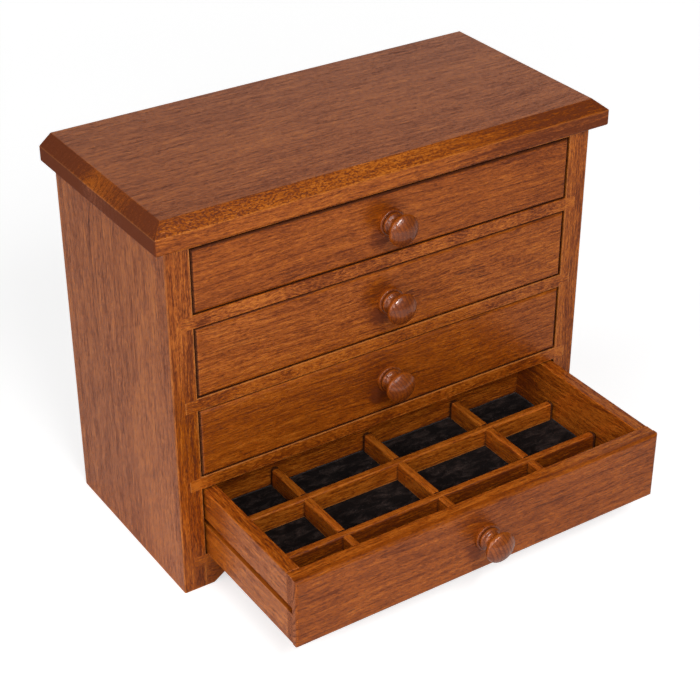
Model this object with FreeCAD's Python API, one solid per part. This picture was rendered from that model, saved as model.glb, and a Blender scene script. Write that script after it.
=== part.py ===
"""Four-drawer wooden jewelry cabinet, one solid for each piece of wood, felt and hardware.

Sizes are in millimetres. X runs to the right seen from the front, Y to the back, Z up from
the floor. The pieces are drawn with Y = 0 on the front of the case. Each is then moved along Y
so that the origin is the middle of the footprint, with the bottom drawer pulled out.
"""
import os

import FreeCAD
import Part

# Case
case_width = 380.0
case_depth = 175.0
side_thickness = 19.5
side_front_rounding = 1.2

# Heights from the floor up: the bottom rail, then openings and rails in turn
bottom_rail_top = 30.0
bottom_opening = 62.0
middle_opening = 59.3
top_opening = 53.7
rail_height = 11.0
top_rail_height = 6.0

# Rails across the front, let into the sides
rail_depth = 30.0
rail_housing = 9.75
rail_front_rounding = 0.5

# Bottom rail, cut from one board with its feet
bottom_rail_depth = 12.0
bottom_rail_tongue = 10.0
arch_height = 14.0
foot_length = 6.6
foot_slope_length = 20.0
foot_corner_radius = 3.0
arch_corner_radius = 12.0

# Top board with its wide sloped edge
top_thickness = 21.2
top_side_overhang = 11.0
top_front_overhang = 9.5
slope_width = 10.0
slope_drop = 8.4
slope_rounding = 1.2
top_lower_rounding = 1.5

# Panels of the case
back_panel_thickness = 4.0
back_rabbet_width = 8.0
back_panel_clearance = 0.3
bottom_panel_thickness = 4.0
bottom_panel_groove = 5.0
bottom_panel_underside = 22.0

# Drawer fronts and boxes
front_side_gap = 1.15
drawer_top_gap = 1.2
drawer_bottom_gap = 0.7
drawer_back_gap = 1.0
front_panel_thickness = 6.0
front_panel_rounding = 2.5
box_side_gap = 1.7
box_front_thickness = 8.0
box_side_thickness = 11.4
box_back_thickness = 6.0
box_edge_rounding = 1.0

# Drawer bottoms and their felt
drawer_bottom_thickness = 3.0
drawer_bottom_rise = 10.5
drawer_bottom_groove = 4.0
lining_thickness = 2.0
lining_clearance = 0.4

# Runners glued into the case sides, and their grooves in the drawers
groove_height = 5.6
groove_depth = 6.0
runner_depth_play = 0.7
runner_height_play = 0.6
runner_top_gap = 0.2
runner_front_gap = 0.5
runner_back_gap = 8.0
runner_housing = 2.5

# Dividers in the bottom drawer
divider_thickness = 7.0
divider_height = 16.0
divider_rounding = 2.0
divider_end_gap = 1.5
row_divider_spacing = 55.4
column_divider_spacing = 88.7

# Knob, as radius and distance from the drawer front
knob_base_radius = 11.2
knob_bead_radius = 9.4
knob_neck_radius = 6.4
knob_head_radius = 13.0
knob_base_thickness = 2.8
knob_bead_end = 6.0
knob_neck_end = 13.4
knob_rim_start = 14.6
knob_rim_end = 18.8
knob_length = 23.6

# Screws
hole_clearance = 0.05
slot_width = 0.8
slot_depth = 0.7
case_screw_head_radius = 3.6
case_screw_shank_radius = 1.8
case_screw_length = 19.0
case_screw_side_distance = 70.0
panel_screw_head_radius = 2.8
panel_screw_shank_radius = 1.4
panel_screw_length = 14.0
panel_screw_count = 4
panel_screw_end_distance = 18.0
knob_screw_head_radius = 4.0
knob_screw_head_thickness = 2.6
knob_screw_shank_radius = 1.9
knob_screw_length = 27.0
knob_screw_recess = 3.2

# How far the bottom drawer stands out
bottom_drawer_out = 132.3

# Sizes that follow from the ones above
inner_half = case_width / 2 - side_thickness
opening_heights = [top_opening, middle_opening, middle_opening, bottom_opening]
rail_tops = [bottom_rail_top]
for opening_above_rail in (bottom_opening, middle_opening, middle_opening):
    rail_tops.insert(0, rail_tops[0] + opening_above_rail + rail_height)
case_height = rail_tops[0] + top_opening + top_rail_height
panel_front = case_depth - back_panel_thickness
drawer_length = panel_front - drawer_back_gap
box_half = inner_half - box_side_gap
box_inner_half = box_half - box_side_thickness
box_front_back = front_panel_thickness + box_front_thickness
box_back_front = drawer_length - box_back_thickness
runner_reach = box_side_gap + groove_depth - runner_depth_play
runner_height = groove_height - runner_height_play
felt_rise = drawer_bottom_rise + drawer_bottom_thickness
divider_rise = felt_rise + lining_thickness
front_reach = bottom_drawer_out + knob_length
case_front_y = (front_reach - case_depth) / 2

TO_RIGHT = FreeCAD.Vector(1, 0, 0)
TO_BACK = FreeCAD.Vector(0, 1, 0)
TO_FRONT = FreeCAD.Vector(0, -1, 0)
UP = FreeCAD.Vector(0, 0, 1)

os.makedirs("parts", exist_ok=True)


def point(x, y, z):
    """A place in the case's own coordinates."""
    return FreeCAD.Vector(x, y, z)


def board(x_range, y_range, z_range):
    """A square-edged board between two values along each axis."""
    sizes = [limits[1] - limits[0] for limits in (x_range, y_range, z_range)]
    return Part.makeBox(*sizes, point(x_range[0], y_range[0], z_range[0]))


def edges_where(shape, test):
    """The edges of a shape whose two ends both pass a test."""
    return [edge for edge in shape.Edges if all(test(end.Point) for end in edge.Vertexes)]


def near(value, target):
    """True where two coordinates are the same but for rounding."""
    return abs(value - target) < 0.0001


def mirrored(shape):
    """The same piece for the other side of the case."""
    return shape.mirror(point(0, 0, 0), TO_RIGHT)


def save(name, shape, slide=0.0):
    """Write one node, moved to the origin of the footprint and along its slide."""
    moved = shape.copy()
    moved.translate(point(0, case_front_y - slide, 0))
    moved.exportStep("parts/" + name + ".step")


def wood_screw(start, direction, head_radius, shank_radius, length, extra=0.0):
    """A countersunk screw from the face it is flush with, or its hole where extra is given."""
    head_depth = head_radius - shank_radius
    neck = start + direction * head_depth
    head = Part.makeCone(head_radius + extra, shank_radius + extra, head_depth, start, direction)
    shank = Part.makeCylinder(shank_radius + extra, length - head_depth + extra, neck, direction)
    screw = head.fuse(shank).removeSplitter()
    if extra > 0:
        return screw
    slot = Part.makeBox(2 * head_radius, slot_width, slot_depth)
    slot.translate(point(-head_radius, -slot_width / 2, 0))
    slot.Placement = FreeCAD.Placement(start, FreeCAD.Rotation(UP, direction)) * slot.Placement
    return screw.cut(slot)


def top_board():
    """The top with a slope on its front and ends, square at the back."""
    half = case_width / 2 + top_side_overhang
    slab_top = case_height + top_thickness - slope_drop
    slab = board((-half, half), (-top_front_overhang, case_depth), (case_height, slab_top))
    outline = [(-half, -top_front_overhang), (half, -top_front_overhang),
               (half, case_depth), (-half, case_depth)]
    inset = half - slope_width
    inner_front = slope_width - top_front_overhang
    inner_outline = [(-inset, inner_front), (inset, inner_front),
                     (inset, case_depth), (-inset, case_depth)]
    wires = []
    for corners, height in ((outline, slab_top), (inner_outline, slab_top + slope_drop)):
        places = [point(x, y, height) for x, y in corners]
        wires.append(Part.makePolygon(places + places[:1]))
    solid = slab.fuse(Part.makeLoft(wires, True, True)).removeSplitter()

    def is_back(place):
        return near(place.y, case_depth)

    def is_underside(place):
        return near(place.z, case_height)

    left_square = edges_where(solid, is_back) + edges_where(solid, is_underside)
    eased = [edge for edge in solid.Edges if not any(edge.isSame(kept) for kept in left_square)]
    solid = solid.makeFillet(slope_rounding, eased)
    lower = [edge for edge in edges_where(solid, is_underside)
             if not is_back(edge.Vertexes[0].Point) or not is_back(edge.Vertexes[-1].Point)]
    return solid.makeFillet(top_lower_rounding, lower)


def cross_rail(bottom, top):
    """A rail across the front between two drawers, with its ends housed in the sides."""
    half = inner_half + rail_housing
    rail = board((-half, half), (0, rail_depth), (bottom, top))
    front_edges = edges_where(rail, lambda place: near(place.y, 0))
    long_edges = [edge for edge in front_edges if edge.Length > half]
    return rail.makeFillet(rail_front_rounding, long_edges)


def bottom_rail():
    """The lowest rail and both feet in one board, arched between them."""
    foot_end = inner_half - foot_length
    arch_end = foot_end - foot_slope_length
    tongue = inner_half + rail_housing
    tongue_bottom = bottom_rail_top - bottom_rail_tongue
    right = [(arch_end, arch_height), (foot_end, 0), (inner_half, 0),
             (inner_half, tongue_bottom), (tongue, tongue_bottom), (tongue, bottom_rail_top)]
    left = [(-x, z) for x, z in reversed(right)]
    corners = [point(x, 0, z) for x, z in right + left]
    outline = Part.Face(Part.makePolygon(corners + corners[:1]))
    rail = outline.extrude(TO_BACK * bottom_rail_depth)
    feet = edges_where(rail, lambda place: near(abs(place.x), foot_end) and near(place.z, 0))
    rail = rail.makeFillet(foot_corner_radius, feet)
    arch = edges_where(rail, lambda place: near(abs(place.x), arch_end))
    arch = [edge for edge in arch if near(edge.Length, bottom_rail_depth)]
    return rail.makeFillet(arch_corner_radius, arch)


def bottom_panel():
    """The thin panel that closes the case under the bottom drawer."""
    half = inner_half + bottom_panel_groove
    top = bottom_panel_underside + bottom_panel_thickness
    return board((-half, half), (bottom_rail_depth, panel_front), (bottom_panel_underside, top))


def panel_screw_places():
    """Where the screws of the back panel sit on its outer face."""
    x = inner_half + back_rabbet_width / 2
    lowest = bottom_panel_underside + panel_screw_end_distance
    step = (case_height - panel_screw_end_distance - lowest) / (panel_screw_count - 1)
    heights = [lowest + step * number for number in range(panel_screw_count)]
    return [point(side * x, case_depth, height) for height in heights for side in (-1, 1)]


def case_screw_places():
    """Where screws go up through the two top rails into the top board."""
    x = inner_half - case_screw_side_distance
    height = case_height - top_rail_height
    rows = (rail_depth / 2, panel_front - rail_depth / 2)
    return [point(side * x, y, height) for y in rows for side in (-1, 1)]


def case_screws(extra=0.0):
    """The four screws that hold the top board down."""
    return [wood_screw(place, UP, case_screw_head_radius, case_screw_shank_radius,
                       case_screw_length, extra) for place in case_screw_places()]


def panel_screws(extra=0.0):
    """The screws that hold the back panel in its rabbets."""
    return [wood_screw(place, TO_FRONT, panel_screw_head_radius, panel_screw_shank_radius,
                       panel_screw_length, extra) for place in panel_screw_places()]


def drawer_height(level):
    """Height of the front and box of one drawer."""
    return opening_heights[level] - drawer_top_gap - drawer_bottom_gap


def drawer_base(level):
    """Height above the floor of the lower edge of one drawer."""
    return rail_tops[level] + drawer_bottom_gap


def groove_top(level):
    """Height above the floor of the upper face of the groove in one drawer's sides."""
    return drawer_base(level) + drawer_height(level) / 2 + groove_height / 2


def right_runner(level):
    """The wooden strip that carries one drawer, let into the right side of the case."""
    top = groove_top(level) - runner_top_gap
    front = front_panel_thickness + runner_front_gap
    across = (inner_half - runner_reach, inner_half + runner_housing)
    return board(across, (front, panel_front - runner_back_gap), (top - runner_height, top))


def right_side(let_in):
    """The right side board, cut for its rabbet and for all that is let into it."""
    half = case_width / 2
    side = board((inner_half, half), (0, case_depth), (0, case_height))
    outer_front = edges_where(side, lambda place: near(place.x, half) and near(place.y, 0))
    side = side.makeFillet(side_front_rounding, outer_front)
    rabbet = board((inner_half, inner_half + back_rabbet_width), (panel_front, case_depth),
                   (bottom_panel_underside, case_height))
    return side.cut([rabbet] + let_in)


def front_panel(level):
    """The show front of one drawer, with its face edges rounded over."""
    half = inner_half - front_side_gap
    base = drawer_base(level)
    panel = board((-half, half), (0, front_panel_thickness), (base, base + drawer_height(level)))
    face_edges = edges_where(panel, lambda place: near(place.y, 0))
    return panel.makeFillet(front_panel_rounding, face_edges).cut(knob_screw_hole(level))


def grooves(level):
    """The two runner grooves, cut along the whole box from its back to the show front."""
    top = groove_top(level)
    right = board((box_half - groove_depth, box_half), (front_panel_thickness, drawer_length),
                  (top - groove_height, top))
    return [right, mirrored(right)]


def drawer_bottom(level):
    """The thin bottom of one drawer, slid in under the back."""
    half = box_inner_half + drawer_bottom_groove
    low = drawer_base(level) + drawer_bottom_rise
    front = box_front_back - drawer_bottom_groove
    return board((-half, half), (front, drawer_length), (low, low + drawer_bottom_thickness))


def box_front(level):
    """The structural front of one drawer box, as wide as the box, behind the show front."""
    base = drawer_base(level)
    top = base + drawer_height(level)
    piece = board((-box_half, box_half), (front_panel_thickness, box_front_back), (base, top))
    inner_top = edges_where(piece, lambda place: near(place.y, box_front_back) and near(place.z, top))
    piece = piece.makeFillet(box_edge_rounding, inner_top)
    return piece.cut(grooves(level) + [drawer_bottom(level), knob_screw_hole(level)])


def box_side(level):
    """The right side of one drawer box, grooved outside for the runner and inside for the bottom."""
    base = drawer_base(level)
    top = base + drawer_height(level)
    piece = board((box_inner_half, box_half), (box_front_back, drawer_length), (base, top))
    top_edges = edges_where(piece, lambda place: near(place.z, top))
    long_edges = [edge for edge in top_edges if edge.Length > box_side_thickness]
    piece = piece.makeFillet(box_edge_rounding, long_edges)
    return piece.cut(grooves(level) + [drawer_bottom(level)])


def box_back(level):
    """The back of one drawer box, between its sides and on its bottom."""
    low = drawer_base(level) + felt_rise
    top = drawer_base(level) + drawer_height(level)
    piece = board((-box_inner_half, box_inner_half), (box_back_front, drawer_length), (low, top))
    top_edges = edges_where(piece, lambda place: near(place.z, top))
    long_edges = [edge for edge in top_edges if edge.Length > box_inner_half]
    return piece.makeFillet(box_edge_rounding, long_edges)


def lining(level):
    """The felt that covers the bottom of one drawer."""
    half = box_inner_half - lining_clearance
    low = drawer_base(level) + felt_rise
    return board((-half, half), (box_front_back + lining_clearance, box_back_front - lining_clearance),
                 (low, low + lining_thickness))


def knob_centre(level):
    """Height above the floor of the middle of one drawer front."""
    return drawer_base(level) + drawer_height(level) / 2


def knob_screw_hole(level):
    """The hole for the knob's screw, with a recess for its head inside the box."""
    height = knob_centre(level)
    shank_radius = knob_screw_shank_radius + hole_clearance
    head_radius = knob_screw_head_radius + hole_clearance
    shank = Part.makeCylinder(shank_radius, box_front_back, point(0, 0, height), TO_BACK)
    recess_start = point(0, box_front_back - knob_screw_recess, height)
    return shank.fuse(Part.makeCylinder(head_radius, knob_screw_recess, recess_start, TO_BACK))


def knob_screw(level):
    """The screw that draws the knob against the front from inside the drawer."""
    height = knob_centre(level)
    head_start = point(0, box_front_back - knob_screw_recess, height)
    head = Part.makeCylinder(knob_screw_head_radius, knob_screw_head_thickness, head_start, TO_BACK)
    shank = Part.makeCylinder(knob_screw_shank_radius, knob_screw_length, head_start, TO_FRONT)
    return head.fuse(shank).removeSplitter()


def knob(level):
    """A turned knob: stepped base, bead, hollow neck and a mushroom head with a domed face."""
    def at(radius, distance):
        return point(radius, -distance, 0)

    base_step = knob_base_radius - 1.2
    quirk_radius = knob_bead_radius - 0.5
    bead_end_radius = knob_bead_radius - 1.0
    head_back_radius = knob_head_radius - 2.8
    rim_radius = knob_head_radius - 0.9
    bead_middle = (knob_base_thickness + knob_bead_end) / 2
    rim_middle = (knob_rim_start + knob_rim_end) / 2
    neck_middle = (knob_bead_end + knob_neck_end) / 2
    dome_height = knob_length - knob_rim_end
    dome_radius = (rim_radius ** 2 + dome_height ** 2) / (2 * dome_height)
    dome_half_radius = rim_radius / 2
    dome_middle = knob_length - dome_radius + (dome_radius ** 2 - dome_half_radius ** 2) ** 0.5
    edges = [
        Part.LineSegment(at(0, 0), at(knob_base_radius, 0)),
        Part.LineSegment(at(knob_base_radius, 0), at(knob_base_radius, knob_base_thickness / 2)),
        Part.Arc(at(knob_base_radius, knob_base_thickness / 2),
                 at(knob_base_radius - 0.35, knob_base_thickness * 0.85),
                 at(base_step, knob_base_thickness)),
        Part.LineSegment(at(base_step, knob_base_thickness), at(quirk_radius, knob_base_thickness)),
        Part.Arc(at(quirk_radius, knob_base_thickness), at(knob_bead_radius, bead_middle),
                 at(bead_end_radius, knob_bead_end)),
        Part.Arc(at(bead_end_radius, knob_bead_end), at(knob_neck_radius, neck_middle),
                 at(head_back_radius, knob_neck_end)),
        Part.LineSegment(at(head_back_radius, knob_neck_end), at(rim_radius, knob_rim_start)),
        Part.Arc(at(rim_radius, knob_rim_start), at(knob_head_radius, rim_middle),
                 at(rim_radius, knob_rim_end)),
        Part.Arc(at(rim_radius, knob_rim_end), at(dome_half_radius, dome_middle), at(0, knob_length)),
        Part.LineSegment(at(0, knob_length), at(0, 0)),
    ]
    profile = Part.Face(Part.Wire([edge.toShape() for edge in edges]))
    turned = profile.revolve(point(0, 0, 0), TO_BACK, 360)
    hole_depth = knob_screw_length - box_front_back + knob_screw_recess + hole_clearance
    hole_radius = knob_screw_shank_radius + hole_clearance
    turned = turned.cut(Part.makeCylinder(hole_radius, hole_depth, point(0, 0, 0), TO_FRONT))
    turned.translate(point(0, 0, knob_centre(level)))
    return turned


def divider_bar(x_range, y_range, low):
    """A divider before it is notched, rounded along its top."""
    top = low + divider_height
    bar = board(x_range, y_range, (low, top))
    top_edges = edges_where(bar, lambda place: near(place.z, top))
    long_edges = [edge for edge in top_edges if edge.Length > divider_thickness + 0.1]
    return bar.makeFillet(divider_rounding, long_edges)


def dividers(level):
    """Two long dividers and three across, halved over each other and standing on the felt."""
    low = drawer_base(level) + divider_rise
    middle = low + divider_height / 2
    thick = divider_thickness / 2
    tray_middle = (box_front_back + box_back_front) / 2
    rows = [tray_middle - row_divider_spacing / 2, tray_middle + row_divider_spacing / 2]
    columns = [-column_divider_spacing, 0.0, column_divider_spacing]
    long_half = box_inner_half - divider_end_gap
    tray = (box_front_back + divider_end_gap, box_back_front - divider_end_gap)
    below = (low, middle)
    above = (middle, low + divider_height)
    column_notches = [board((x - thick, x + thick), tray, below) for x in columns]
    row_notches = [board((-long_half, long_half), (y - thick, y + thick), above) for y in rows]
    pieces = {}
    for name, y in zip(("front", "rear"), rows):
        bar = divider_bar((-long_half, long_half), (y - thick, y + thick), low)
        pieces["long_divider_" + name] = bar.cut(column_notches)
    for name, x in zip(("left", "middle", "right"), columns):
        bar = divider_bar((x - thick, x + thick), tray, low)
        pieces["cross_divider_" + name] = bar.cut(row_notches)
    return pieces


# The case
rails = {"rail_" + str(number + 1): cross_rail(rail_tops[number] - rail_height, rail_tops[number])
         for number in range(3)}
rails["top_rail"] = cross_rail(case_height - top_rail_height, case_height)
rear_top_rail = board((-inner_half - rail_housing, inner_half + rail_housing),
                      (panel_front - rail_depth, panel_front),
                      (case_height - top_rail_height, case_height))
rails["rear_top_rail"] = rear_top_rail
rails["bottom_rail"] = bottom_rail()
runners = [right_runner(level) for level in range(4)]
let_in = list(rails.values()) + [bottom_panel()] + panel_screws(hole_clearance) + runners
side = right_side(let_in)
save("right_side", side)
save("left_side", mirrored(side))
for name in ("top_rail", "rear_top_rail"):
    rails[name] = rails[name].cut(case_screws(hole_clearance))
for name, rail in rails.items():
    save(name, rail)
save("bottom_panel", bottom_panel())
save("top_board", top_board().cut(case_screws(hole_clearance)))
panel_half = inner_half + back_rabbet_width - back_panel_clearance
back_panel = board((-panel_half, panel_half), (panel_front, case_depth),
                   (bottom_panel_underside, case_height))
save("back_panel", back_panel.cut(panel_screws(hole_clearance)))
save("top_screws", Part.makeCompound(case_screws()))
save("back_screws", Part.makeCompound(panel_screws()))

# The runners, a pair for each drawer
for number, runner in enumerate(runners, 1):
    save("runners_" + str(number), Part.makeCompound([runner, mirrored(runner)]))

# The drawers, from the top one down
for level in range(4):
    prefix = "drawer_" + str(level + 1) + "_"
    out = bottom_drawer_out if level == 3 else 0.0
    pieces = {"front": front_panel(level), "box_front": box_front(level),
              "right_side": box_side(level), "left_side": mirrored(box_side(level)),
              "back": box_back(level), "bottom": drawer_bottom(level), "lining": lining(level),
              "knob": knob(level), "knob_screw": knob_screw(level)}
    for name, piece in pieces.items():
        save(prefix + name, piece, out)

for name, piece in dividers(3).items():
    save(name, piece, bottom_drawer_out)
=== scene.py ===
import math

import bpy
import numpy as np
from mathutils import Matrix, Quaternion, Vector


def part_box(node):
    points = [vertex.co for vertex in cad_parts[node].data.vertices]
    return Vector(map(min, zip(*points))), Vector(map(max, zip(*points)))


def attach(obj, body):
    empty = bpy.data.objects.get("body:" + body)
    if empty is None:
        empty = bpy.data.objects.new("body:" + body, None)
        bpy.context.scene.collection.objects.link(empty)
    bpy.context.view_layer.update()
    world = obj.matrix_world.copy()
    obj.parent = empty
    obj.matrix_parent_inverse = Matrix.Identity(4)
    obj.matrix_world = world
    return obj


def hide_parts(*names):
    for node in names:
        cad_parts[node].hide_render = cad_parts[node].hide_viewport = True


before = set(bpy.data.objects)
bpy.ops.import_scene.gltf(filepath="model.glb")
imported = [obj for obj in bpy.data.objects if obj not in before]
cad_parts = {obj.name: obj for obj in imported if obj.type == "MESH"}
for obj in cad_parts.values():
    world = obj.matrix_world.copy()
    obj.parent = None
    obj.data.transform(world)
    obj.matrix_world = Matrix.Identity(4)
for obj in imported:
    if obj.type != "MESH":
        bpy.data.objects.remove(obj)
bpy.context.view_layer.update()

# Side boards: two upright cherry boards that reach down to the floor, glued up from staves,
# stained red brown and lacquered to a satin gloss. Their front edges carry the rails.
UP, OUT, ALONG = (0, 0, 1), (0, 1, 0), (1, 0, 0)
DEEP_CHERRY = (0.165, 0.029, 0.0014, 1)
CHERRY = (0.400, 0.088, 0.0048, 1)
PALE_CHERRY = (0.620, 0.172, 0.0160, 1)
RUBBED_AND_HIGHLIT_CHERRY = (0.68, 0.27, 0.075, 1)
PORE_STAIN = (0.060, 0.011, 0.002, 1)
# Painted shade for gaps, joints and recesses.
GAP_SHADE_COLOUR = (0.030, 0.0055, 0.0008, 1)
LOG_LENGTH = 0.617
GRAIN_RELIEF = 0.0004
JOINT_DARK, JOINT_CLEAR = 0.20, 0.62


def node(tree, kind, sockets=None, **settings):
    """Adds one shader node; sockets gives its inputs, each a value or the output it is joined to."""
    made = tree.nodes.new("ShaderNode" + kind)
    for key, value in settings.items():
        setattr(made, key, value)
    for key, value in (sockets or {}).items():
        if isinstance(value, bpy.types.NodeSocket):
            tree.links.new(value, made.inputs[key])
        else:
            made.inputs[key].default_value = value
    return made


def sums(tree, operation, *values, clamp=False):
    """One step of arithmetic on numbers or outputs."""
    return node(tree, "Math", dict(enumerate(values)), operation=operation, use_clamp=clamp).outputs[0]


def vectors(tree, operation, *values, out="Vector", **named):
    """One step of arithmetic on places or directions."""
    sockets = {**dict(enumerate(values)), **named}
    return node(tree, "VectorMath", sockets, operation=operation).outputs[out]


def axes(tree, place):
    """The x, y and z of a place or a direction."""
    return node(tree, "SeparateXYZ", {0: place}).outputs


def noise(tree, place, scale, detail, out="Fac", **more):
    """Cloudy noise from 0 to 1, with cells 1/scale of a metre wide."""
    sockets = {"Vector": place, "Scale": scale, "Detail": detail, **more}
    return node(tree, "TexNoise", sockets).outputs[out]


def spread(tree, value, low, high, to_low=0.0, to_high=1.0):
    """A smooth step: to_low where value is under low, to_high where it is over high."""
    return node(tree, "MapRange", {0: value, 1: low, 2: high, 3: to_low, 4: to_high},
                interpolation_type="SMOOTHSTEP").outputs[0]


def blend(tree, share, first, second):
    """Mixes two colours, with share of the second."""
    return node(tree, "Mix", {0: share, 6: first, 7: second}, data_type="RGBA", clamp_factor=True).outputs[2]


def start_group(name, inputs, outputs):
    """An empty node group with named sockets; returns its tree and the outputs of its input node."""
    tree = bpy.data.node_groups.new(name, "ShaderNodeTree")
    for label, kind, value in inputs:
        socket = tree.interface.new_socket(label, in_out="INPUT", socket_type="NodeSocket" + kind)
        if value is not None:
            socket.default_value = value
    for label, kind in outputs:
        tree.interface.new_socket(label, in_out="OUTPUT", socket_type="NodeSocket" + kind)
    return tree, tree.nodes.new("NodeGroupInput").outputs


def fill(tree, group, **values):
    """Gives a placed group its inputs by name, each a value or the output it is joined to."""
    for label, value in values.items():
        socket = group.inputs[label.replace("_", " ")]
        if isinstance(value, bpy.types.NodeSocket):
            tree.links.new(value, socket)
        else:
            socket.default_value = value


def end_group(tree, **results):
    """Joins the group's results to its output node."""
    last = tree.nodes.new("NodeGroupOutput")
    for label, value in results.items():
        tree.links.new(value, last.inputs[label])
    return tree


def cherry_grain():
    """Solid cherry at a point whose X runs along the grain and whose YZ are measured from the heart.
    Rings are whole steps of the distance from the heart, bent by slow waves. Lines, flecks, fibres,
    pores and gum streaks are noise drawn out along X, and Wavy makes them swerve. Tone is their
    weighted sum, from deep to pale, and an Edge over a half pales an arris, partly as stain rubbed off
    and partly as a painted highlight. Joint and Stave tell where the board is glued from narrower ones."""
    tree, given = start_group("cherry_grain", [
        ("Place", "Vector", None), ("End grain", "Float", 0.0), ("Edge", "Float", 0.0),
        ("Gap", "Float", 0.0), ("Tone", "Float", 0.0), ("Contrast", "Float", 1.0),
        ("Fleck", "Float", 1.0), ("Wavy", "Float", 1.0), ("Fine", "Float", 1.0),
        ("Curl", "Float", 0.3), ("Cloud", "Float", 1.0), ("Gum", "Float", 0.5),
        ("Stave", "Float", 1.0), ("Joint", "Float", 0.5), ("Ring", "Float", 0.0028),
        ("Ring depth", "Float", 0.25),
        ("Deep", "Color", DEEP_CHERRY), ("Middle", "Color", CHERRY), ("Pale", "Color", PALE_CHERRY),
    ], [("Color", "Color"), ("Roughness", "Float"), ("Height", "Float")])

    def cloud(place, along, across, detail=2.0, rough=0.55, out="Fac"):
        """Noise whose cells are 1/along long and 1/across wide, in metres."""
        drawn = vectors(tree, "MULTIPLY", place, (along, across, across))
        return noise(tree, drawn, 1.0, detail, out, Roughness=rough)

    def swing(*where):
        """The same noise less its middle."""
        return sums(tree, "SUBTRACT", cloud(*where), 0.5)

    across_board = sums(tree, "ADD", axes(tree, given["Place"])[1], given["Joint"])
    stave = sums(tree, "FLOOR", sums(tree, "DIVIDE", across_board, given["Stave"]))
    other = sums(tree, "MINIMUM", sums(tree, "ABSOLUTE", stave), 1.0)
    chance = node(tree, "TexWhiteNoise", {"W": stave}, noise_dimensions="1D").outputs
    jump = vectors(tree, "MULTIPLY", chance["Color"], (3.0, 0.03, 0.03))
    own = vectors(tree, "ADD", given["Place"], vectors(tree, "SCALE", jump, Scale=other))
    slow_waves = cloud(own, 5.0, 16.0, 2.0, 0.5, "Color")
    bent = vectors(tree, "MULTIPLY_ADD", slow_waves, (0.0, 0.016, 0.016), own)
    quick_waves = vectors(tree, "MULTIPLY", cloud(own, 42.0, 75.0, 1.0, 0.5, "Color"), (0.0, 0.008, 0.008))
    swerve = vectors(tree, "SCALE", quick_waves, Scale=given["Wavy"])
    wavy = vectors(tree, "ADD", bent, swerve)
    flat = vectors(tree, "MULTIPLY_ADD", swerve, (0.5, 0.5, 0.5), bent)
    away = vectors(tree, "LENGTH", vectors(tree, "MULTIPLY", flat, (0.0, 1.0, 1.0)), out="Value")
    rings = sums(tree, "DIVIDE", away, given["Ring"])
    steep = sums(tree, "MULTIPLY_ADD", given["End grain"], -6.0, 11.0)
    late = sums(tree, "POWER", sums(tree, "FRACT", rings), steep)
    years = {"W": sums(tree, "MULTIPLY", rings, 0.37), "Scale": 1.0, "Detail": 2.0}
    seasons = node(tree, "TexNoise", years, noise_dimensions="1D").outputs["Fac"]
    band, line = swing(bent, 14.0, 240.0, 2.0), swing(wavy, 48.0, 860.0, 2.0)
    fleck, fibre = swing(wavy, 300.0, 900.0, 2.0, 0.6), swing(wavy, 260.0, 2100.0, 1.0)
    pores = spread(tree, swing(wavy, 190.0, 1500.0, 0.0), 0.12, 0.24)
    where = spread(tree, swing(own, 9.0, 30.0, 1.0), 0.02, 0.16)
    gum = sums(tree, "MULTIPLY", spread(tree, swing(bent, 34.0, 700.0, 1.0), 0.13, 0.22), where)

    grain = sums(tree, "MULTIPLY", sums(tree, "MULTIPLY", fleck, 1.5), given["Fleck"])
    ends = sums(tree, "MULTIPLY_ADD", given["End grain"], 0.55, given["Ring depth"])
    thin = sums(tree, "MULTIPLY", sums(tree, "MULTIPLY_ADD", fibre, 0.8, line), given["Fine"])
    for value, weight in ((band, 0.7), (thin, 0.95), (sums(tree, "SUBTRACT", seasons, 0.5), 0.6),
                          (sums(tree, "MULTIPLY", late, ends), -1.0)):
        grain = sums(tree, "MULTIPLY_ADD", value, weight, grain)
    tone = sums(tree, "MULTIPLY_ADD", grain, given["Contrast"], sums(tree, "ADD", given["Tone"], 0.5))
    tone = sums(tree, "ADD", tone, sums(tree, "MULTIPLY", swing(own, 13.0, 26.0, 3.0), given["Cloud"]))
    tone = sums(tree, "ADD", tone, sums(tree, "MULTIPLY", swing(own, 75.0, 26.0, 2.0), given["Curl"]))
    fate = sums(tree, "MULTIPLY", sums(tree, "SUBTRACT", chance["Value"], 0.5), other)
    tone = sums(tree, "MULTIPLY_ADD", fate, sums(tree, "MULTIPLY_ADD", given["End grain"], 0.7, 0.12), tone)
    tone = sums(tree, "MULTIPLY_ADD", given["End grain"], -0.26, tone)
    # Edge pales the arrises: rubbed wear and a painted highlight.
    tone = sums(tree, "MULTIPLY_ADD", given["Edge"], 0.35, tone)
    low = blend(tree, sums(tree, "MULTIPLY", tone, 2.0, clamp=True), given["Deep"], given["Middle"])
    colour = blend(tree, sums(tree, "MULTIPLY_ADD", tone, 2.0, -1.0, clamp=True), low, given["Pale"])
    colour = blend(tree, sums(tree, "SUBTRACT", given["Edge"], 0.5, clamp=True), colour, RUBBED_AND_HIGHLIT_CHERRY)
    marks = sums(tree, "MULTIPLY_ADD", gum, given["Gum"], sums(tree, "MULTIPLY", pores, 0.38), clamp=True)
    # Gap paints shade into the colour and dulls the gloss there.
    colour = blend(tree, given["Gap"], blend(tree, marks, colour, PORE_STAIN), GAP_SHADE_COLOUR)
    dull = sums(tree, "SUBTRACT", 0.5, tone, clamp=True)
    rough = sums(tree, "MULTIPLY_ADD", dull, 0.45, sums(tree, "MULTIPLY_ADD", given["End grain"], 0.10, 0.25))
    rough = sums(tree, "MULTIPLY_ADD", pores, 0.10, sums(tree, "MULTIPLY_ADD", given["Gap"], 0.5, rough))
    height = sums(tree, "MULTIPLY_ADD", pores, -0.8, sums(tree, "MULTIPLY_ADD", fibre, 0.5, line))
    return end_group(tree, Color=colour, Roughness=rough, Height=height)


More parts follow.
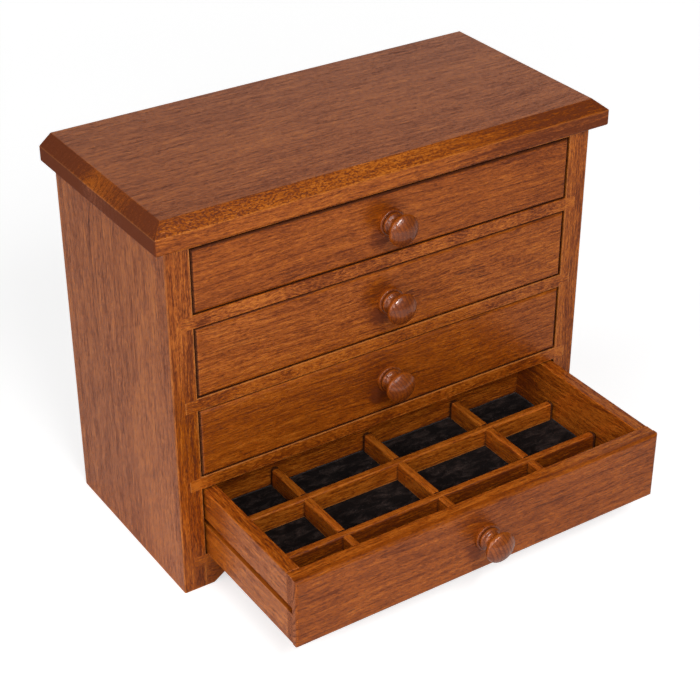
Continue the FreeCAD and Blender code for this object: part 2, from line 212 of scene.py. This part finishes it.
def eased_edges():
    """How near a point of a box is to its closest edge. The distance to the faces is half the size
    less the offset from the centre on each axis, and the middle one of the three is the distance to
    the edge. Edge is one there and falls to nothing at Width, which noise makes uneven."""
    tree, given = start_group("eased_edges", [
        ("Place", "Vector", None), ("Centre", "Vector", None), ("Half size", "Vector", None),
        ("Width", "Float", None),
    ], [("Edge", "Float")])
    off = vectors(tree, "ABSOLUTE", vectors(tree, "SUBTRACT", given["Place"], given["Centre"]))
    a, b, c = axes(tree, vectors(tree, "SUBTRACT", given["Half size"], off))
    lesser, greater = sums(tree, "MINIMUM", a, b), sums(tree, "MAXIMUM", a, b)
    middle = sums(tree, "MAXIMUM", lesser, sums(tree, "MINIMUM", greater, c))
    uneven = noise(tree, given["Place"], 160.0, 2.0)
    reach = sums(tree, "MULTIPLY", given["Width"], sums(tree, "MULTIPLY_ADD", uneven, 2.0, 0.2))
    near = sums(tree, "SUBTRACT", 1.0, sums(tree, "DIVIDE", middle, reach, clamp=True))
    return end_group(tree, Edge=near)


GRAIN, EDGES = cherry_grain(), eased_edges()


def bare_material(name):
    """A new material without any node yet, and its tree."""
    material = bpy.data.materials.new(name)
    material.use_nodes = True
    material.node_tree.nodes.clear()
    return material, material.node_tree


def surface(tree, sockets):
    """The material's one shader, joined to its output."""
    node(tree, "OutputMaterial", {"Surface": node(tree, "BsdfPrincipled", sockets).outputs[0]})


def paint(name, material):
    """Puts a material on a piece that keeps its own solid."""
    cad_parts[name].material_slots[0].material = material


def cherry(name, along, across, cut, heart, edge=0.0012, edges=1.0, bump=0.25, gap=0.0, tight=1.0,
           edge_mask=None, shade_mask=None, tone_map=None, coat_map=None, **look):
    """Paints one piece as cherry. along and across turn the grain, cut tells which length of the log
    it comes from, and heart is where the middle of the tree lies from the piece's own, across it and
    through it, in metres. edge is how far its arrises are paled and edges how much: rubbed bare and a
    painted highlight. Joints and recesses up to gap wide get painted shade, full at a JOINT_DARK share
    of open air and none at JOINT_CLEAR, less where tight is under 1 and none on a paled arris. The
    masks and maps are functions of the place on the piece, for its edges, more painted shade, its tone
    and its coat of lacquer. look names inputs of the grain."""
    low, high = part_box(name)
    centre = (low + high) / 2
    first, second = Vector(along), Vector(across)
    turn = Matrix((first, second, first.cross(second)))
    material, tree = bare_material(name + "_wood")
    spot = node(tree, "TexCoord").outputs
    look["Place"] = node(tree, "Mapping", {
        "Vector": spot["Object"], "Rotation": turn.to_euler(),
        "Location": Vector((LOG_LENGTH * cut, *heart)) - turn @ centre,
    }).outputs[0]
    facing = vectors(tree, "DOT_PRODUCT", spot["Normal"], along, out="Value")
    look["End_grain"] = spread(tree, sums(tree, "ABSOLUTE", facing), 0.3, 0.8)
    if edge_mask is None:
        near = node(tree, "Group", {}, node_tree=EDGES)
        fill(tree, near, Place=spot["Object"], Centre=centre, Half_size=(high - low) / 2, Width=edge)
        near_edge = near.outputs[0]
    else:
        near_edge = edge_mask(tree, spot)
    look["Edge"] = sums(tree, "MULTIPLY", near_edge, edges)
    unworn = sums(tree, "SUBTRACT", 1.0, look["Edge"], clamp=True)
    # Painted shade: joints and recesses are darkened by how enclosed each point is.
    if gap:
        open_air = node(tree, "AmbientOcclusion", {"Distance": gap}, samples=6).outputs["AO"]
        gap_shade = spread(tree, open_air, JOINT_DARK * tight, JOINT_CLEAR * tight, 1.0, 0.0)
        look["Gap"] = sums(tree, "MULTIPLY", gap_shade, unworn)
    if shade_mask:
        look["Gap"] = sums(tree, "MAXIMUM", look["Gap"], shade_mask(tree, spot))
    if tone_map:
        look["Tone"] = tone_map(tree, spot)
    wood = node(tree, "Group", {}, node_tree=GRAIN)
    fill(tree, wood, **look)
    relief = {"Height": wood.outputs["Height"], "Strength": bump, "Distance": GRAIN_RELIEF}
    surface(tree, {
        "Base Color": wood.outputs["Color"], "Roughness": wood.outputs["Roughness"],
        "Normal": node(tree, "Bump", relief).outputs[0],
        "Metallic": 0.2, "IOR": 1.5, "Specular IOR Level": 0.36, "Coat Roughness": 0.06,
        "Coat Weight": coat_map(tree, spot) if coat_map else 0.0,
    })
    paint(name, material)


def darker_front(tree, spot):
    """The front edge is darker than the broad faces, partly its edge grain and partly painted shade."""
    return spread(tree, axes(tree, spot["Normal"])[1], -0.8, -0.5, -0.13, -0.03)


# Their front arrises are paled widely, partly rubbed wear and partly a painted highlight.
for name, cut, heart in (("left_side", 1.0, (0.03, 0.075)), ("right_side", 2.0, (-0.02, -0.08))):
    cherry(name, UP, OUT, cut, heart, gap=0.006, edge=0.0020, edges=0.9, tone_map=darker_front,
           Stave=0.062, Wavy=0.15, Fleck=0.65, Fine=2.3, Curl=0.1, Cloud=0.4, Gum=0.6, Contrast=0.92)

# Rails: narrow cherry rails let into the front edges of the sides, between the drawers, with a
# thin one under the top and another at the back that holds the top down.
SIDE_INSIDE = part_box("right_side")[0].x
SHARP = 0.0005


def paler_ends(tree, spot):
    """The ends that are let into the sides show their fresh cut cheeks, a little paler."""
    out = sums(tree, "ABSOLUTE", axes(tree, spot["Object"])[0])
    return spread(tree, out, SIDE_INSIDE - SHARP, SIDE_INSIDE + SHARP, -0.04, 0.14)


# rail_2 and rail_3 have their arrises paled strongly, a painted highlight along their edges.
for name, cut, heart, edges in (
        ("rail_1", 3.1, (0.05, 0.02), 0.3), ("rail_2", 4.3, (0.04, -0.03), 1.25),
        ("rail_3", 5.2, (-0.05, 0.02), 1.25), ("top_rail", 6.7, (0.02, 0.06), 0.3),
        ("rear_top_rail", 7.9, (0.02, 0.05), 0.3)):
    cherry(name, ALONG, UP, cut, heart, edge=0.0011, edges=edges, gap=0.006, tone_map=paler_ends,
           Wavy=0.7, Cloud=1.6, Curl=0.9, Fleck=1.5, Fine=1.4)

# Bottom rail: the lowest rail with the two shaped feet, cut from one board with a flat arch
# between them, its grain running across the chest.
cherry("bottom_rail", ALONG, UP, 8.4, (0.05, 0.04), edges=0.3, gap=0.006, Wavy=0.7, Fine=1.5)

# Back and bottom panels: thin plywood stained like the case, the back one in rabbets of the
# sides with its grain upright, the other under the bottom drawer.
PLY_LOOK = {
    "Deep": (0.120, 0.034, 0.009, 1), "Middle": (0.240, 0.080, 0.022, 1), "Pale": (0.330, 0.125, 0.040, 1),
    "Curl": 0.1, "Gum": 0.2, "Wavy": 0.5, "Ring": 0.006}
cherry("back_panel", UP, ALONG, 9.3, (0.04, 0.3), edges=0.0, **PLY_LOOK)
cherry("bottom_panel", ALONG, OUT, 10.6, (0.04, 0.3), edges=0.0, **PLY_LOOK)

# Runners: a pair of plain wooden strips for each drawer, left without stain, let into the sides
# and glued.
RAW_LOOK = {
    "Deep": (0.180, 0.060, 0.018, 1), "Middle": (0.330, 0.130, 0.045, 1), "Pale": (0.450, 0.210, 0.085, 1),
    "Curl": 0.1, "Gum": 0.1}
for number in range(1, 5):
    cherry(f"runners_{number}", OUT, UP, 11.0 + 1.3 * number, (0.03, 0.05), **RAW_LOOK)

# Top board: thick, edge glued from staves, overhanging at the front and both ends, where its
# upper edge is cut to a slope. The lower line of the slope is paled, a painted highlight.
TOP_LOW, TOP_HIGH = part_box("top_board")
SLOPE_DROP = 0.0084
SLOPE_FOOT = TOP_HIGH.z - SLOPE_DROP
FOOT_LINE = 0.0011
FRONT_STAVE = 0.031
REAR_STAIN = (0.076, 0.112)
LEFT_FADE, RIGHT_FADE, SPECK_FADE = (-0.19, -0.04), (0.0, 0.16), (-0.02, 0.10)
END_HEART = (TOP_LOW.x, 0.080, 0.314)
HEART_RING = (0.004, 0.026)


def slope_line(tree, spot):
    """One at the height where the slope ends, fading to nothing within FOOT_LINE of it; it paints a highlight
    along that line.
    """
    off = sums(tree, "ABSOLUTE", sums(tree, "SUBTRACT", axes(tree, spot["Object"])[2], SLOPE_FOOT))
    return sums(tree, "SUBTRACT", 1.0, sums(tree, "DIVIDE", off, FOOT_LINE, clamp=True))


def top_tone(tree, spot):
    """The front edge is darker to both ends, most of all to the right. The ends are darker on the
    front stave, below the slope and towards the back, and paler round the heart that the left one
    shows. The front slope, cut across the grain, is specked with stain, less of it to the right.
    The three fades run along the front edge, and FRONT_STAVE and REAR_STAIN from front to back."""
    x, y, z = axes(tree, spot["Object"])
    turn_x, turn_y, turn_z = axes(tree, spot["Normal"])
    front = spread(tree, turn_y, -0.3, -0.5)
    at_end = spread(tree, sums(tree, "ABSOLUTE", turn_x), 0.3, 0.5)
    left, right = spread(tree, x, *LEFT_FADE, -0.10, 0.08), spread(tree, x, *RIGHT_FADE, 0.0, -0.54)
    fade = sums(tree, "MULTIPLY", sums(tree, "ADD", left, right), front)
    fore = spread(tree, y, FRONT_STAVE - SHARP, FRONT_STAVE + SHARP, 0.16, 0.0)
    below = spread(tree, z, SLOPE_FOOT - 2 * SHARP, SLOPE_FOOT, 0.46, 0.0)
    dark = sums(tree, "ADD", sums(tree, "ADD", fore, below), spread(tree, y, *REAR_STAIN, 0.0, 0.46))
    tone = sums(tree, "SUBTRACT", fade, sums(tree, "MULTIPLY", dark, at_end))
    drawn = vectors(tree, "MULTIPLY", spot["Object"], (0.55, 1.0, 1.0))
    speck = spread(tree, noise(tree, drawn, 900.0, 3.0), 0.36, 0.58, -0.50, 0.26)
    slope = sums(tree, "MULTIPLY", front, spread(tree, turn_z, 0.3, 0.5))
    share = sums(tree, "MULTIPLY", spread(tree, x, *SPECK_FADE, 1.0, 0.25), slope)
    tone = sums(tree, "ADD", tone, sums(tree, "MULTIPLY", speck, share))
    away = vectors(tree, "DISTANCE", spot["Object"], END_HEART, out="Value")
    return sums(tree, "ADD", tone, spread(tree, away, *HEART_RING, 0.28, 0.0))


cherry("top_board", ALONG, OUT, 17.3, (-0.0188, -0.0071), edges=0.8, edge_mask=slope_line, gap=0.006,
       tone_map=top_tone, Stave=0.115, Joint=0.061, Wavy=0.15, Fleck=0.65, Fine=1.75, Cloud=0.3,
       Curl=0.1, Contrast=0.86, Gum=0.3, Ring=0.0055, Ring_depth=0.3)

# Screws: zinc plated wood screws. The heads in the back panel show on its outer face, and those
# under the top and behind the knobs are out of sight. They share one bright metal.
ZINC, DULL_ZINC = (0.52, 0.53, 0.55, 1), (0.36, 0.36, 0.37, 1)


def zinc_plating():
    """Bright metal clouded by noise in colour and gloss, with fine drawn scratches."""
    material, tree = bare_material("zinc_plated")
    place = node(tree, "TexCoord").outputs["Object"]
    cloud = noise(tree, place, 700.0, 3.0)
    scratches = {"Height": noise(tree, place, 4000.0, 1.0), "Strength": 0.15, "Distance": 0.0001}
    surface(tree, {
        "Base Color": blend(tree, cloud, DULL_ZINC, ZINC), "Metallic": 1.0,
        "Roughness": spread(tree, cloud, 0.3, 0.7, 0.25, 0.45),
        "Normal": node(tree, "Bump", scratches).outputs[0],
    })
    return material


ZINC_PLATED = zinc_plating()
for name in ("top_screws", "back_screws", *(f"drawer_{number}_knob_screw" for number in range(1, 5))):
    paint(name, ZINC_PLATED)

# Drawer boxes: plain boxes behind the fronts, stained like the case but left a little duller,
# with a plywood bottom in grooves. A groove for the runner is cut along each side.
GROOVE_FLOOR = 0.0054
LIP_LINE = (0.0005, 0.0015)
LIP_OUTER, LIP_INNER = (0.0026, 0.0008), (0.001, 0.002)
REAR_SHADOW = (0.050, 0.016)


def groove_light_and_shadow(number):
    """The floor of the runner's groove and the lip under it carry a painted highlight, most of all
    outwards, and the rear end a painted shadow. GROOVE_FLOOR is measured down from the runner's top,
    LIP_OUTER and LIP_INNER from the side's outer and inner face, and REAR_SHADOW from its rear end."""
    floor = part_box(f"runners_{number}")[1].z - GROOVE_FLOOR
    wall_low, wall_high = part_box(f"drawer_{number}_right_side")

    def tone(tree, spot):
        x, y, z = axes(tree, spot["Object"])
        off = sums(tree, "ABSOLUTE", sums(tree, "SUBTRACT", z, floor))
        out = sums(tree, "ABSOLUTE", x)
        outer = spread(tree, out, wall_high.x - LIP_OUTER[0], wall_high.x - LIP_OUTER[1], 0.2, 1.0)
        inner = spread(tree, out, wall_low.x + LIP_INNER[0], wall_low.x + LIP_INNER[1])
        across = sums(tree, "MULTIPLY", outer, inner)
        lip = sums(tree, "MULTIPLY", spread(tree, off, *LIP_LINE, 1.0, 0.0), across)
        rear = spread(tree, y, wall_high.y - REAR_SHADOW[0], wall_high.y - REAR_SHADOW[1], 0.10, -0.45)
        return sums(tree, "MULTIPLY_ADD", lip, 0.9, rear)

    return tone


for number in range(1, 5):
    drawer = f"drawer_{number}_"
    # The back's lower tone is painted shade, where the case shades the rear of the drawer.
    for part, along, heart, step, own in (
            ("box_front", ALONG, (0.04, 0.03), 0.0, {"tight": 1.2, "Tone": 0.10}),
            ("back", ALONG, (0.03, -0.05), 0.7, {"tight": 1.2, "Tone": -0.08}),
            ("left_side", OUT, (0.05, 0.03), 1.4, {"tight": 0.4, "tone_map": groove_light_and_shadow(number)}),
            ("right_side", OUT, (-0.04, 0.04), 2.1, {"tight": 0.4, "tone_map": groove_light_and_shadow(number)})):
        cherry(drawer + part, along, UP, 20.0 + 4.7 * number + step, heart, edges=0.6, gap=0.004,
               Cloud=0.25, Wavy=0.15, Curl=0.1, Fine=2.7, Fleck=0.4, **own)
    cherry(drawer + "bottom", ALONG, OUT, 60.0 + number, (0.04, 0.3), edges=0.0, **PLY_LOOK)

# Dividers: two long and three short cherry strips, rounded along the top and halved over each
# other, that stand loose on the felt of the bottom drawer and stop just short of its walls.
END_SHADOW = (0.0024, 0.0014)


def dark_end(name, axis):
    """Painted shadow, near one within two millimetres of the end that stops short of the drawer's wall."""
    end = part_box(name)[1][axis]
    return lambda tree, spot: spread(tree, axes(tree, spot["Object"])[axis],
                                     end - END_SHADOW[0], end - END_SHADOW[1], 0.0, 0.9)


def lit_and_shaded_faces(name):
    """The tops of the dividers are paler, a painted highlight. The front one, close behind the drawer's
    front, has painted shade on the face towards it."""
    def tone(tree, spot):
        facing = axes(tree, spot["Normal"])
        top = spread(tree, facing[2], 0.5, 0.9, 0.12, 0.26)
        if name != "long_divider_front":
            return top
        return sums(tree, "ADD", top, spread(tree, facing[1], -0.8, -0.4, -0.50, 0.0))

    return tone


for name, along, cut in (
        ("long_divider_front", ALONG, 41.2), ("long_divider_rear", ALONG, 43.9),
        ("cross_divider_left", OUT, 45.1), ("cross_divider_middle", OUT, 46.8),
        ("cross_divider_right", OUT, 48.5)):
    cherry(name, along, UP, cut, (0.02, 0.03), shade_mask=dark_end(name, along.index(1)), gap=0.004,
           tight=1.3, tone_map=lit_and_shaded_faces(name), Fine=2.8, Fleck=0.6, Wavy=0.15, Cloud=0.3)

# Felt: one black velvety sheet on the bottom of each drawer, cut to the inside of the box. In the
# bottom drawer the dividers press it down and it puffs up a little between them.
FELT_STEP = 0.002
FELT_THICKNESS = 0.0016
PUFF = 0.00035
DENT_REACH = 0.003
NAP_SINK = 0.00003
FELT_BLACK = (0.0030, 0.0022, 0.0020, 1)
FELT_NAP_SHEEN = (0.066, 0.047, 0.041, 1)
LINT = (0.060, 0.050, 0.050, 1)
SHEEN = (0.80, 0.72, 0.74, 1)


def felt_sheet(name, pressed_along, pressed_across):
    """Upper surface z = resting height + puff times free. puff is three slow sine waves of x and y,
    and free grows smoothly from nothing at a divider to one at DENT_REACH from it."""
    low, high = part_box(name)
    xs = np.linspace(low.x, high.x, int((high.x - low.x) / FELT_STEP) + 1)
    ys = np.linspace(low.y, high.y, int((high.y - low.y) / FELT_STEP) + 1)
    x, y = np.meshgrid(xs, ys, indexing="ij")
    free = np.ones_like(x)
    for place, strips in ((x, pressed_across), (y, pressed_along)):
        for first, last in strips:
            free *= np.clip(np.maximum(first - place, place - last) / DENT_REACH, 0, 1)
    free = free * free * (3 - 2 * free)
    seed = low.z * 900
    puff = (0.5 + 0.22 * np.sin(x * 171 + y * 63 + seed) + 0.18 * np.sin(y * 211 - x * 97 + 2 * seed)
            + 0.10 * np.sin(x * 389 + y * 331 + 3 * seed))
    z = high.z - NAP_SINK + PUFF * puff * free
    points = np.stack([x, y, z], axis=-1).reshape(-1, 3)
    across = len(ys)
    corner = (np.arange(len(xs) - 1)[:, None] * across + np.arange(across - 1)[None, :]).ravel()
    faces = np.stack([corner, corner + across, corner + across + 1, corner + 1], axis=-1)
    mesh = bpy.data.meshes.new(name)
    mesh.from_pydata(points.tolist(), [], faces.tolist())
    mesh.polygons.foreach_set("use_smooth", np.ones(len(faces), bool))
    piece = bpy.data.objects.new(name.replace("lining", "felt"), mesh)
    bpy.context.scene.collection.objects.link(piece)
    wall = piece.modifiers.new("thickness", "SOLIDIFY")
    wall.thickness = FELT_THICKNESS
    wall.offset = -1
    return piece


def black_felt():
    """Near black nap with a painted sheen: warm grey patches where it lies the other way, and fine fibres."""
    material, tree = bare_material("black_felt")
    place = node(tree, "TexCoord").outputs["Object"]
    smear = vectors(tree, "MULTIPLY", place, (1.0, 2.1, 1.0))
    brushed = noise(tree, smear, 70.0, 6.0, Roughness=0.74, Distortion=0.5)
    fibre, lint = noise(tree, place, 1600.0, 2.0), noise(tree, place, 420.0, 1.0)
    nap = sums(tree, "MULTIPLY", spread(tree, brushed, 0.44, 0.74), spread(tree, fibre, 0.3, 0.7, 0.35, 1.0))
    colour = blend(tree, nap, FELT_BLACK, FELT_NAP_SHEEN)
    pile = sums(tree, "MULTIPLY_ADD", brushed, 2.0, fibre)
    surface(tree, {
        "Base Color": blend(tree, spread(tree, lint, 0.74, 0.80), colour, LINT),
        "Roughness": spread(tree, brushed, 0.3, 0.7, 0.95, 0.80),
        "Normal": node(tree, "Bump", {"Height": pile, "Strength": 0.5, "Distance": 0.0004}).outputs[0],
        "Sheen Weight": 0.10, "Sheen Roughness": 0.45, "Sheen Tint": SHEEN, "Specular IOR Level": 0.05,
    })
    return material


BLACK_FELT = black_felt()
long_strips = [[corner.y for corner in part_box(f"long_divider_{where}")] for where in ("front", "rear")]
cross_strips = [[corner.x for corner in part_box(f"cross_divider_{where}")]
                for where in ("left", "middle", "right")]
for number in range(1, 5):
    lining = f"drawer_{number}_lining"
    felt = felt_sheet(lining, *((long_strips, cross_strips) if number == 4 else ((), ())))
    felt.data.materials.append(BLACK_FELT)
    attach(felt, f"drawer_{number}")
    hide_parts(lining)

# Drawer fronts: wide cherry boards with rounded edges, each cut with a livelier figure than the
# case, screwed to the box behind. Painted shadow darkens their upper and left edges, where the gaps
# are, and painted shade lies beside the knobs.
NO_STRIP = -0.001
# These place the painted shadow in the gaps above and left of each front.
STRIP_INSIDE, STRIP_OUTSIDE, UPPER_STRENGTH = 0.0004, 0.0005, 0.7
LEFT_STRIP, LEFT_STRENGTH = (0.0018, 0.0009), 0.80
# Painted shade round each knob: a halo up and left where it hides the bright reflection, and its shadow
# below.
KNOB_HALO_PLACE, KNOB_HALO_REACH = (-0.011, 0.010), (0.006, 0.024)
KNOB_SHADOW_PLACE, KNOB_SHADOW_REACH, KNOB_SHADOW_TONE = (-0.010, -0.011), (0.003, 0.013), -0.55


def front_gap_shadow(number, strip):
    """The painted shadow of a front as a function of the place on it: near one within strip of the upper
    edge, and along a narrow strip of the left one. NO_STRIP lies above the board, so that its upper edge
    keeps no painted shadow."""
    low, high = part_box(f"drawer_{number}_front")
    line = high.z - strip

    def gap_shadow(tree, spot):
        place = axes(tree, spot["Object"])
        upper = spread(tree, place[2], line - STRIP_INSIDE, line + STRIP_OUTSIDE, 0.0, UPPER_STRENGTH)
        left = spread(tree, place[0], low.x + LEFT_STRIP[0], low.x + LEFT_STRIP[1], 0.0, LEFT_STRENGTH)
        return sums(tree, "MAXIMUM", upper, left)

    return gap_shadow


def front_tone(number, tone, halo_tone):
    """The tone of a front as a function of the place on it: paler on the left end, and lower in two
    rounds beside the knob, painted shade where the knob hides the bright reflection and its painted shadow."""
    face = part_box(f"drawer_{number}_front")[0].y
    knob_low, knob_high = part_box(f"drawer_{number}_knob")
    knob = (knob_low + knob_high) / 2

    def knob_shade(tree, spot):
        def darker(place, reach, much):
            middle = (knob.x + place[0], face, knob.z + place[1])
            away = vectors(tree, "DISTANCE", spot["Object"], middle, out="Value")
            return spread(tree, away, *reach, much, 0.0)

        end = spread(tree, axes(tree, spot["Normal"])[0], -0.8, -0.4, 0.30, tone)
        with_halo = sums(tree, "ADD", darker(KNOB_HALO_PLACE, KNOB_HALO_REACH, halo_tone), end)
        return sums(tree, "ADD", with_halo, darker(KNOB_SHADOW_PLACE, KNOB_SHADOW_REACH, KNOB_SHADOW_TONE))

    return knob_shade


# Drawer 3 has its arrises paled more, a painted highlight along its edges.
for number, heart, tone, halo_tone, contrast, strip, edges in (
        (1, (0.030, 0.028), -0.08, -0.20, 0.76, 0.0016, 0.15),
        (2, (-0.042, 0.020), -0.01, -0.20, 0.98, 0.0007, 0.15),
        (3, (0.020, -0.034), -0.08, -0.20, 0.90, NO_STRIP, 0.9),
        (4, (-0.032, 0.026), -0.10, -0.10, 0.80, None, 0.15)):
    cherry(f"drawer_{number}_front", ALONG, UP, 70.0 + 1.9 * number, heart, edges=edges, gap=0.006,
           tight=0.8, shade_mask=front_gap_shadow(number, strip) if strip else None,
           tone_map=front_tone(number, tone, halo_tone), Contrast=contrast, Cloud=0.5, Curl=0.18,
           Wavy=0.24, Fleck=0.6, Fine=1.7, Gum=0.7, Ring=0.0048, Ring_depth=0.38)

# Knobs: turned from one piece of cherry with the grain along the axis, polished brighter than the
# boards, so that the soft boxes show in the bead and the domed head.
POLISH_FULL, POLISH_NONE = 0.0030, 0.0015


def polish(name):
    """The coat, thin on the stepped base and full from three millimetres in front of the board."""
    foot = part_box(name)[1].y
    return lambda tree, spot: spread(tree, axes(tree, spot["Object"])[1],
                                     foot - POLISH_FULL, foot - POLISH_NONE, 0.6, 0.0)


for number in range(1, 5):
    name = f"drawer_{number}_knob"
    cherry(name, OUT, UP, 80.0 + 1.7 * number, (0.004 * number - 0.008, 0.034), edges=0.0,
           coat_map=polish(name), bump=0.04, gap=0.003, Contrast=0.65, Fleck=0.5, Wavy=0.3, Gum=0.4,
           Tone=-0.04, Ring=0.0030)

# Studio: a plain white floor, a broad soft key light in front with a long bright core, and a small
# soft box at the front left.
FLOOR_REACH, FLOOR_DROP = 8, 0.0002
CHEST_MIDDLE = Vector((0, 0, 0.18))
corners = [(x * FLOOR_REACH, y * FLOOR_REACH, -FLOOR_DROP) for x, y in ((-1, -1), (1, -1), (1, 1), (-1, 1))]
floor_mesh = bpy.data.meshes.new("floor")
floor_mesh.from_pydata(corners, [], [(0, 1, 2, 3)])
floor = bpy.data.objects.new("floor", floor_mesh)
bpy.context.scene.collection.objects.link(floor)
paper, tree = bare_material("white_paper")
seen = node(tree, "LightPath").outputs["Is Camera Ray"]
away = vectors(tree, "LENGTH", node(tree, "TexCoord").outputs["Object"], out="Value")
haze = spread(tree, away, 0.5, 4.0, 0.62, 1.0)
surface(tree, {
    "Base Color": (0.84, 0.84, 0.84, 1), "Roughness": 0.9, "Specular IOR Level": 0.1,
    "Emission Color": (1, 1, 1, 1), "Emission Strength": sums(tree, "MULTIPLY", seen, haze)})
floor_mesh.materials.append(paper)


def soft_box(name, azimuth, elevation, distance, width, height, roll, power):
    """A light seen from the middle of the chest at azimuth, from straight ahead to the right, and at
    elevation, then rolled about its middle, all in degrees."""
    a, e = math.radians(azimuth), math.radians(elevation)
    towards = Vector((math.sin(a) * math.cos(e), -math.cos(a) * math.cos(e), math.sin(e)))
    rolled = towards.to_track_quat("Z", "Y") @ Quaternion((0, 0, 1), math.radians(roll))
    light = bpy.data.lights.new(name, "AREA")
    light.shape = "RECTANGLE"
    light.size = width
    light.size_y = height
    light.energy = power
    lamp = bpy.data.objects.new(name, light)
    lamp.location = CHEST_MIDDLE + towards * distance
    lamp.rotation_euler = rolled.to_euler()
    bpy.context.scene.collection.objects.link(lamp)


soft_box("key_light", -8, 40, 1.6, 1.20, 0.60, 35, 7.4)
soft_box("key_core", -12, 40, 1.5, 0.85, 0.11, 40, 6.9)
soft_box("left_box", -40, 18, 1.6, 0.40, 0.40, 0, 3)

# Room: a large bright wall at the left, a low one behind on the right and a faint one overhead.
# Each adds its strength towards its own direction, falling to nothing between two cosines. The
# camera sees plain white behind the chest.
world = bpy.data.worlds.new("studio")
bpy.context.scene.world = world
world.use_nodes = True
tree = world.node_tree
tree.nodes.clear()
gaze = node(tree, "TexCoord").outputs["Generated"]
room = 0.05
for strength, towards, narrow, wide in (
        (1.78, (-0.966, 0.0, 0.26), 0.95, 0.70), (0.49, (0.50, 0.86, -0.09), 0.90, 0.60),
        (0.20, (0.0, -0.03, 1.0), 0.95, 0.70)):
    near = vectors(tree, "DOT_PRODUCT", gaze, Vector(towards).normalized(), out="Value")
    room = sums(tree, "MULTIPLY_ADD", spread(tree, near, wide, narrow), strength, room)
white = sums(tree, "ADD", room, node(tree, "LightPath").outputs["Is Camera Ray"])
background = node(tree, "Background", {"Color": (1, 1, 1, 1), "Strength": white})
node(tree, "OutputWorld", {"Surface": background.outputs[0]})

# Camera: the photograph's own place and lens, solved from points of the chest that show in it. It
# looks down on the chest from the front left.
TILT_DOWN, TURN = 31.46, -33.4
lens = bpy.data.cameras.new("camera")
lens.lens = 87.8107
lens.sensor_width = 36
lens.clip_end = 50
camera = bpy.data.objects.new("camera", lens)
camera.location = (-0.6523, -0.94305, 0.8546)
camera.rotation_euler = (math.radians(90 - TILT_DOWN), 0, math.radians(TURN))
bpy.context.scene.collection.objects.link(camera)
bpy.context.scene.camera = camera
bpy.context.scene.view_settings.view_transform = "Standard"
